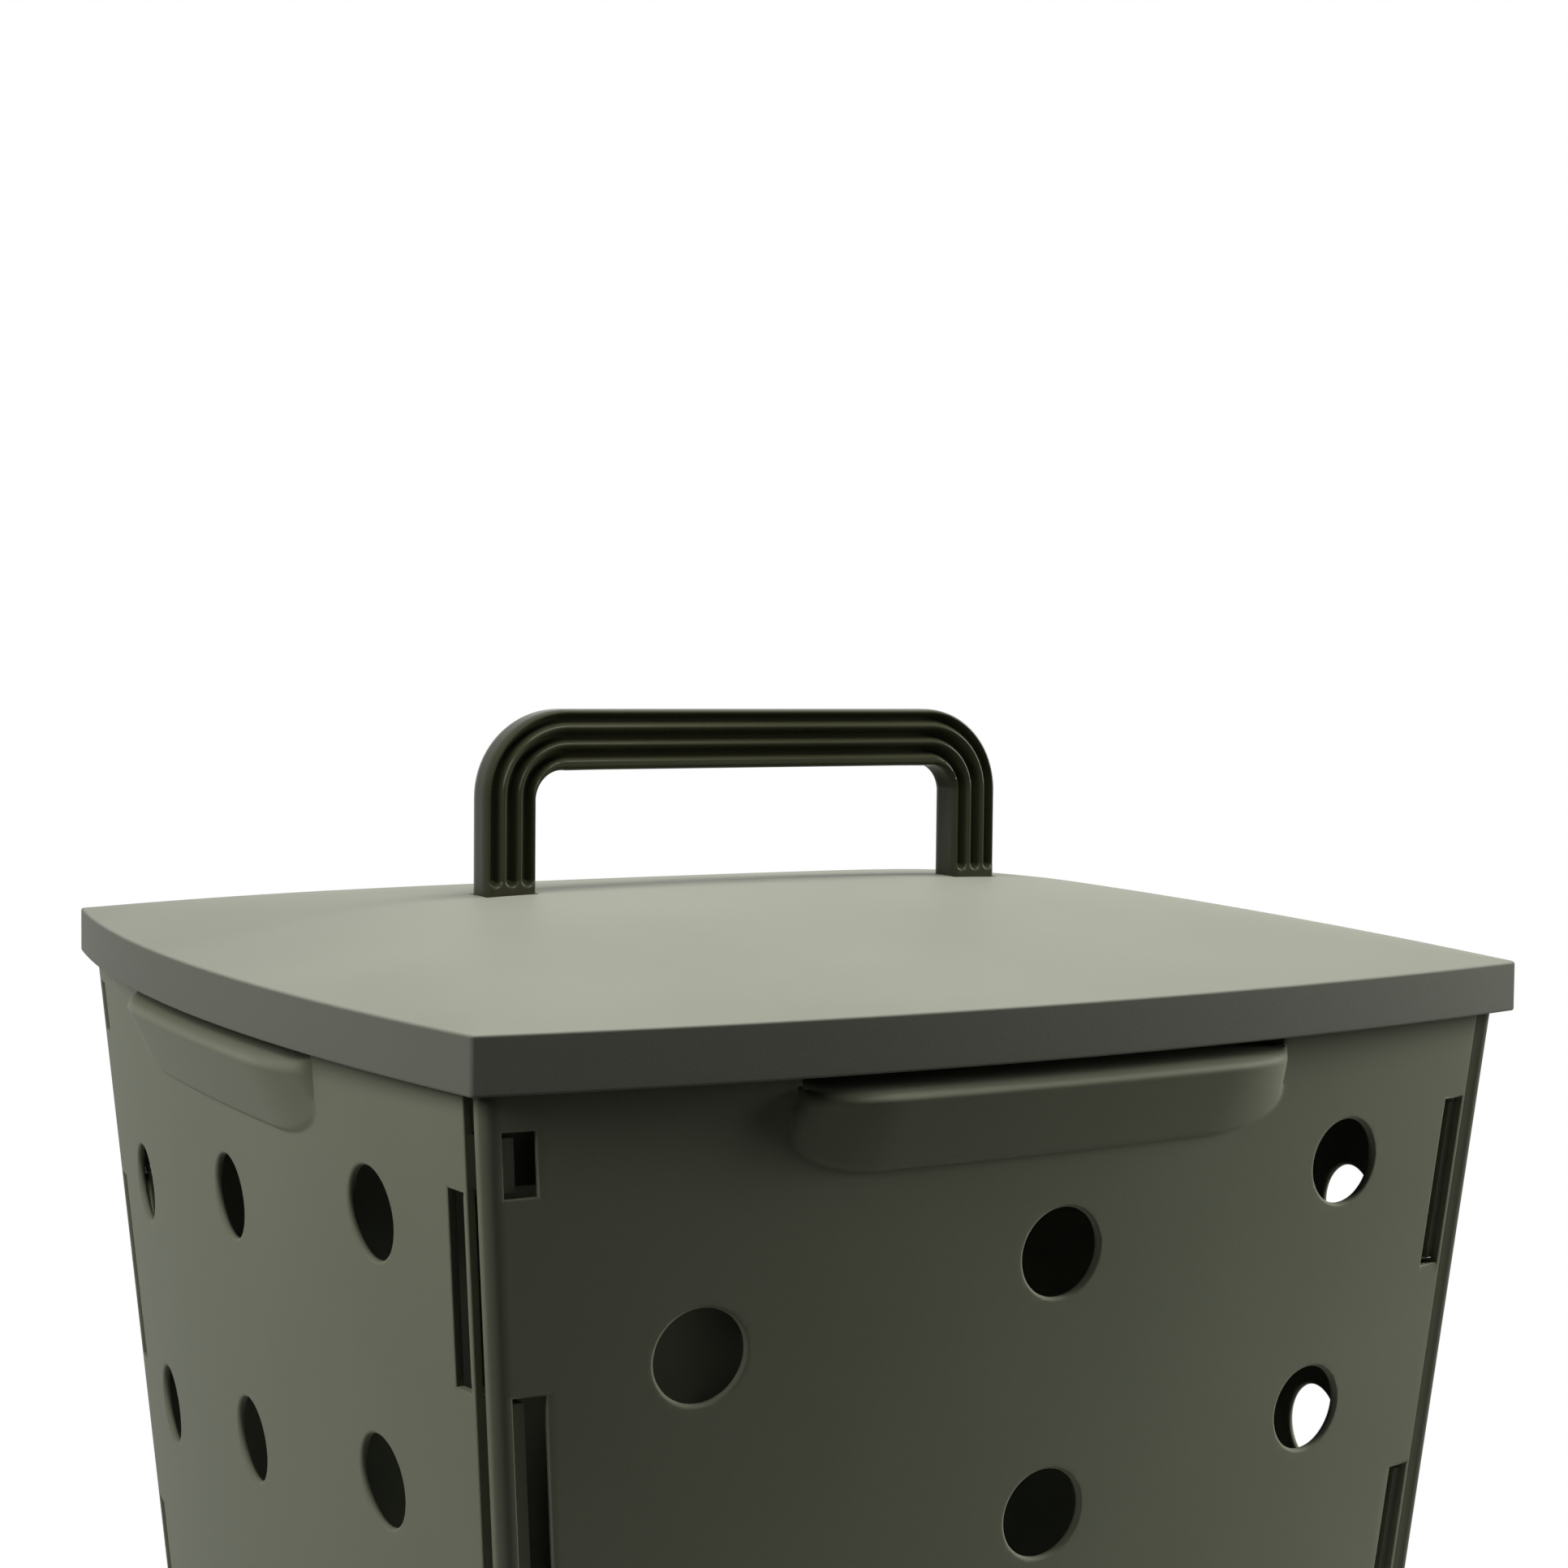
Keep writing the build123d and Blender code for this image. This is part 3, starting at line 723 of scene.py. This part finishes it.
def lid_rule(shell, s):
    def at_both(shape, x, y, z):
        ends = shape.node("GeometryNodeMeshLine", {"mode": "END_POINTS"}, {
            "Count": 2, "Start Location": shape.point(-x, y, z), "Offset": shape.point(x, y, z)})
        return shape.node("GeometryNodeInstanceOnPoints", {}, {"Points": ends, "Instance": shape})

    boss = shell.node("GeometryNodeMeshCylinder", {"fill_type": "NGON"}, {
        "Vertices": 48, "Radius": s["Boss radius"], "Depth": s["Boss height"]})
    rib = shell.node("GeometryNodeMeshCube", {}, {
        "Size": shell.point(s["Rib width"], s["Rib depth"], s["Rib height"])})
    pair = at_both(rib, s["Rib x"], -s["Rib y"], s["Rib z"])
    hubs = shell.node("GeometryNodeMeshLine", {}, {"Count": 4, "Offset": (0.0, 0.0, 0.0)})
    quarter = shell.node("GeometryNodeInputIndex", {}, {}) * (math.pi / 2)
    ribs = hubs.node("GeometryNodeInstanceOnPoints", {}, {
        "Points": hubs, "Instance": pair, "Rotation": shell.point(0.0, 0.0, quarter)})
    added = [at_both(boss, s["Leg x"], 0.0, s["Foot z"] - s["Boss height"] / 2.0), ribs]
    added = [one.node("GeometryNodeRealizeInstances", {}, {"Geometry": one}) for one in added]
    lid = shell.node("GeometryNodeMeshBoolean", {"operation": "UNION", "solver": "EXACT"}, {
        "Mesh 2": [shell, *added]})
    socket = shell.node("GeometryNodeMeshCube", {}, {
        "Size": shell.point(s["Socket length"], s["Socket width"], s["Socket room"])})
    hole = shell.node("GeometryNodeMeshCylinder", {"fill_type": "NGON"}, {
        "Vertices": 32, "Radius": s["Screw hole radius"], "Depth": s["Boss height"] * 3.0})
    cut = [at_both(socket, s["Leg x"], 0.0, s["Foot z"] + s["Socket room"] / 2.0),
           at_both(hole, s["Leg x"], 0.0, s["Foot z"])]
    for one in cut:
        one = one.node("GeometryNodeRealizeInstances", {}, {"Geometry": one})
        lid = lid.node("GeometryNodeMeshBoolean", {"operation": "DIFFERENCE", "solver": "EXACT"}, {
            "Mesh 1": lid, "Mesh 2": one})
    return lid


# Painted shade: the skirt is darkened to three quarters of the top's colour, standing in for the shade
# that falls on it.
skirt_shade_fade = 0.0008


def painted_skirt_shade(x, y, z):
    """Painted shade on all of the lid that lies below the rim."""
    return ((rim_z - z) / skirt_shade_fade).high(0.0).low(1.0)


# The lid's colour carries painted shade on the skirt.
lid_plastic = moulded(
    "lid_plastic_with_painted_shade", (0.178, 0.183, 0.148), (0.200, 0.205, 0.168),
    sheen=0.5, grain=0.00005, gloss=0.03, shaded=painted_skirt_shade, painted_shade_factor=0.75)
lid_mesh = grow_mesh("crowned_lid", lid_sizes, lid_rule, lid_shell, lid_plastic)
placed("crowned_lid", lid_mesh, "lid", "lid_plastic", "lid")

# Handle. A separate, darker U-shaped moulding with three flutes round both broad faces.
# Its feet stand in shallow sockets of the lid and are screwed on from inside.
grip_half = 0.083
grip_h = 0.0506
grip_bar = 0.0167
grip_leg = 0.0148
grip_depth = 0.0118
grip_out_r = 0.024
grip_in_r = 0.008
outer_round = (0.0018, 0.0042)
inner_round = (0.0012, 0.0030)
flutes = 3
flute_first = 0.0027
flute_pitch = 0.0047
flute_half = flute_pitch / 2
flute_deep = 0.0034
flute_end = 0.0045
flute_wave = 1.2


def grip_face(width, below):
    """Half a section, from the outer edge to the inner one: places across and depths. Below the
    round ends of the flutes it is plain; below is how far under their centres the section lies."""
    edge_steps, wave_steps, rest_steps = 7, 44, 8
    quarter = [math.pi / 2 * k / edge_steps for k in range(edge_steps + 1)]
    last = flute_first + (flutes - 1) * flute_pitch
    rest_end = width - inner_round[0]
    places = [outer_round[0] * (1 - math.cos(a)) for a in quarter]
    wave_len = last - outer_round[0]
    places += [outer_round[0] + wave_len * k / wave_steps for k in range(1, wave_steps + 1)]
    places += [last + (rest_end - last) * k / rest_steps for k in range(1, rest_steps)]
    places += [width - inner_round[0] * (1 - math.cos(a)) for a in reversed(quarter)]
    points = []
    for p in places:
        q = 0.0
        for (across, deep), off in ((outer_round, p), (inner_round, width - p)):
            q += deep * (1 - math.sqrt(max(1 - max(1 - off / across, 0) ** 2, 0)))
        for f in range(flutes):
            away = math.hypot(p - flute_first - f * flute_pitch, below) / flute_half
            q += flute_deep * ((1 + math.cos(math.pi * min(away, 1))) / 2) ** flute_wave
        points.append((p, q))
    return points


grip_top = foot_z + grip_h
grip_stations = []
end_steps, leg_steps, corner_steps, bar_steps = 12, 5, 20, 6
leg_len = grip_h - grip_out_r - flute_end
leg_heights = [0.0, socket_deep]
leg_heights += [flute_end - flute_half * (1 - k / end_steps) for k in range(end_steps + 1)]
leg_heights += [flute_end + leg_len * k / leg_steps for k in range(1, leg_steps + 1)]
for up in leg_heights:
    below = max(flute_end - up, 0.0)
    grip_stations.append((Vector((-grip_half, 0, foot_z + up)), Vector((1, 0, 0)), grip_leg, below))
corner = Vector((-grip_half + grip_out_r, 0, grip_top - grip_out_r))
off_corner = corner - Vector((-grip_half + grip_leg + grip_in_r, 0, grip_top - grip_bar - grip_in_r))
for k in range(1, corner_steps + 1):
    a = math.pi - math.pi / 2 * k / corner_steps
    out = Vector((math.cos(a), 0, math.sin(a)))
    b = out.dot(off_corner)
    inner = math.sqrt(b * b - off_corner.length_squared + grip_in_r ** 2) - b
    grip_stations.append((corner + out * grip_out_r, -out, grip_out_r - inner, 0.0))
bar_half = grip_half - grip_out_r
for k in range(1, bar_steps + 1):
    place = Vector((-bar_half + bar_half * k / bar_steps, 0, grip_top))
    grip_stations.append((place, Vector((0, 0, -1)), grip_bar, 0.0))
flip = Vector((-1, 1, 1))
grip_stations += [(p * flip, n * flip, w, below) for p, n, w, below in grip_stations[-2::-1]]
grip_rings = []
for place, inward, width, below in grip_stations:
    face = grip_face(width, below)
    near = [place + inward * p + Vector((0, q - grip_depth / 2, 0)) for p, q in face]
    far = [place + inward * p + Vector((0, grip_depth / 2 - q, 0)) for p, q in reversed(face)]
    grip_rings.append(near + far)
grip_bm = bmesh.new()
stacked(grip_bm, grip_rings)
bmesh.ops.recalc_face_normals(grip_bm, faces=grip_bm.faces)
grip_mesh = kept_mesh("fluted_handle", grip_bm)
handle_plastic = moulded(
    "handle_plastic_finish", (0.025, 0.0262, 0.0135), (0.032, 0.0334, 0.0185),
    sheen=0.2, grain=0.00003, gloss=0.08)
grip_mesh.materials.append(handle_plastic)
placed("fluted_handle", grip_mesh, "lid", "handle_plastic", "lid_handle")

# Handle screws. Two zinc-plated pan-head self-tapping screws, driven up through the lid's
# bosses into the handle's legs.
bloom_scale = 700.0
zinc_sheen = 0.2
zinc_uneven = 0.3
zinc = bpy.data.materials.new("screw_zinc_finish")
zinc.use_nodes = True
zinc_shader = zinc.node_tree.nodes["Principled BSDF"]
zinc_start = Flow(zinc.node_tree, None)
zinc_place = zinc_start.node("ShaderNodeTexCoord", {}, {}, "Object")
bloom = zinc_start.node("ShaderNodeTexNoise", {}, {
    "Vector": zinc_place, "Scale": bloom_scale, "Detail": 3.0})
zinc_tone = zinc_start.node("ShaderNodeValToRGB", {
    "stops": [(0.35, (0.50, 0.50, 0.47)), (0.65, (0.66, 0.66, 0.63))]}, {"Fac": bloom})
zinc.node_tree.links.new(zinc_tone.socket, zinc_shader.inputs["Base Color"])
zinc_rough = bloom * zinc_uneven + zinc_sheen
zinc.node_tree.links.new(zinc_rough.socket, zinc_shader.inputs["Roughness"])
zinc_shader.inputs["Metallic"].default_value = 1.0
frame["nodes"]["handle_screws"].material_slots[0].material = zinc

# Studio. A pale floor that fades to a white background, a soft light overhead, one at each
# side and a weaker one behind, which is kept out of reflections.
floor_r = 4.0
stage_bm = bmesh.new()
bmesh.ops.create_circle(stage_bm, cap_ends=True, segments=96, radius=floor_r)
stage_mesh = kept_mesh("studio_floor", stage_bm)
studio_floor = bpy.data.objects.new("studio_floor", stage_mesh)
bpy.context.scene.collection.objects.link(studio_floor)
paper = bpy.data.materials.new("studio_paper")
paper.use_nodes = True
paper_tree = paper.node_tree
paper_shader = paper_tree.nodes["Principled BSDF"]
paper_shader.inputs["Base Color"].default_value = (0.86, 0.86, 0.85, 1.0)
paper_shader.inputs["Roughness"].default_value = 0.9
paper_start = Flow(paper_tree, None)
px, py, pz = paper_start.node("ShaderNodeTexCoord", {}, {}, "Object").xyz()
away = paper_start.node("ShaderNodeMapRange", {"interpolation_type": "SMOOTHSTEP"}, {
    "Value": (px * px + py * py).sqrt(), "From Min": 0.2, "From Max": 0.45})


def looked_at(start):
    """1 on rays that show the background: from the camera, off gloss and through glass."""
    path = start.node("ShaderNodeLightPath", {}, {}, "Is Camera Ray")
    return path.high(path.also("Is Glossy Ray")).high(path.also("Is Transmission Ray"))


white = paper_start.node("ShaderNodeEmission", {}, {
    "Color": (1.0, 1.0, 1.0, 1.0), "Strength": looked_at(paper_start)})
blend = paper_start.node("ShaderNodeMixShader", {}, {
    0: away, 1: Flow(paper_tree, paper_shader.outputs[0]), 2: white})
paper_tree.links.new(blend.socket, paper_tree.nodes["Material Output"].inputs["Surface"])
stage_mesh.materials.append(paper)

world = bpy.data.worlds.new("studio")
bpy.context.scene.world = world
world.use_nodes = True
sky_tree = world.node_tree
ambient = 0.015
sky_strength = looked_at(Flow(sky_tree, None)) * (1.0 - ambient) + ambient
backdrop = sky_tree.nodes["Background"]
backdrop.inputs["Color"].default_value = (1.0, 1.0, 1.0, 1.0)
sky_tree.links.new(sky_strength.socket, backdrop.inputs["Strength"])

lit_point = Vector((0.0, 0.0, 0.3))
for name, place, width, height, watts, shines in (
    ("top_softbox", (0.0, -0.13, 1.0), 0.5, 0.3, 5.3, True),
    ("left_softbox", (-0.85, -0.12, 0.85), 0.4, 0.5, 6.2, True),
    ("right_softbox", (1.5, -0.5, 0.85), 0.5, 0.9, 35.0, True),
    ("back_fill", (0.4, 1.5, 0.8), 0.6, 0.6, 8.0, False),
):
    lamp = bpy.data.lights.new(name, "AREA")
    lamp.shape = "RECTANGLE"
    lamp.size = width
    lamp.size_y = height
    lamp.energy = watts
    light = bpy.data.objects.new(name, lamp)
    light.location = place
    light.visible_glossy = shines
    light.rotation_mode = "QUATERNION"
    light.rotation_quaternion = (lit_point - Vector(place)).to_track_quat("-Z", "Y")
    bpy.context.scene.collection.objects.link(light)

# Camera. A little higher than the handle and looking nearly level at the corner between the left
# and the front panel, as the photograph does; the frame cuts off the lower part of the bin.
camera_place = Vector((-0.3572, -0.6284, 0.4767))
yaw = math.radians(30.450)
pitch = math.radians(2.685)
roll = math.radians(-0.564)
ahead = math.cos(pitch)
forward = Vector((math.sin(yaw) * ahead, math.cos(yaw) * ahead, -math.sin(pitch)))
level = Vector((math.cos(yaw), -math.sin(yaw), 0.0))
below = forward.cross(level)
right = level * math.cos(roll) + below * math.sin(roll)
down = below * math.cos(roll) - level * math.sin(roll)
lens = bpy.data.cameras.new("photo_camera")
lens.sensor_width = 36.0
lens.lens = 58.125
lens.clip_start = 0.01
camera = bpy.data.objects.new("photo_camera", lens)
facing = Matrix((right, -down, -forward)).transposed().to_4x4()
camera.matrix_world = Matrix.Translation(camera_place) @ facing
bpy.context.scene.collection.objects.link(camera)
bpy.context.scene.camera = camera
bpy.context.scene.view_settings.view_transform = "Standard"
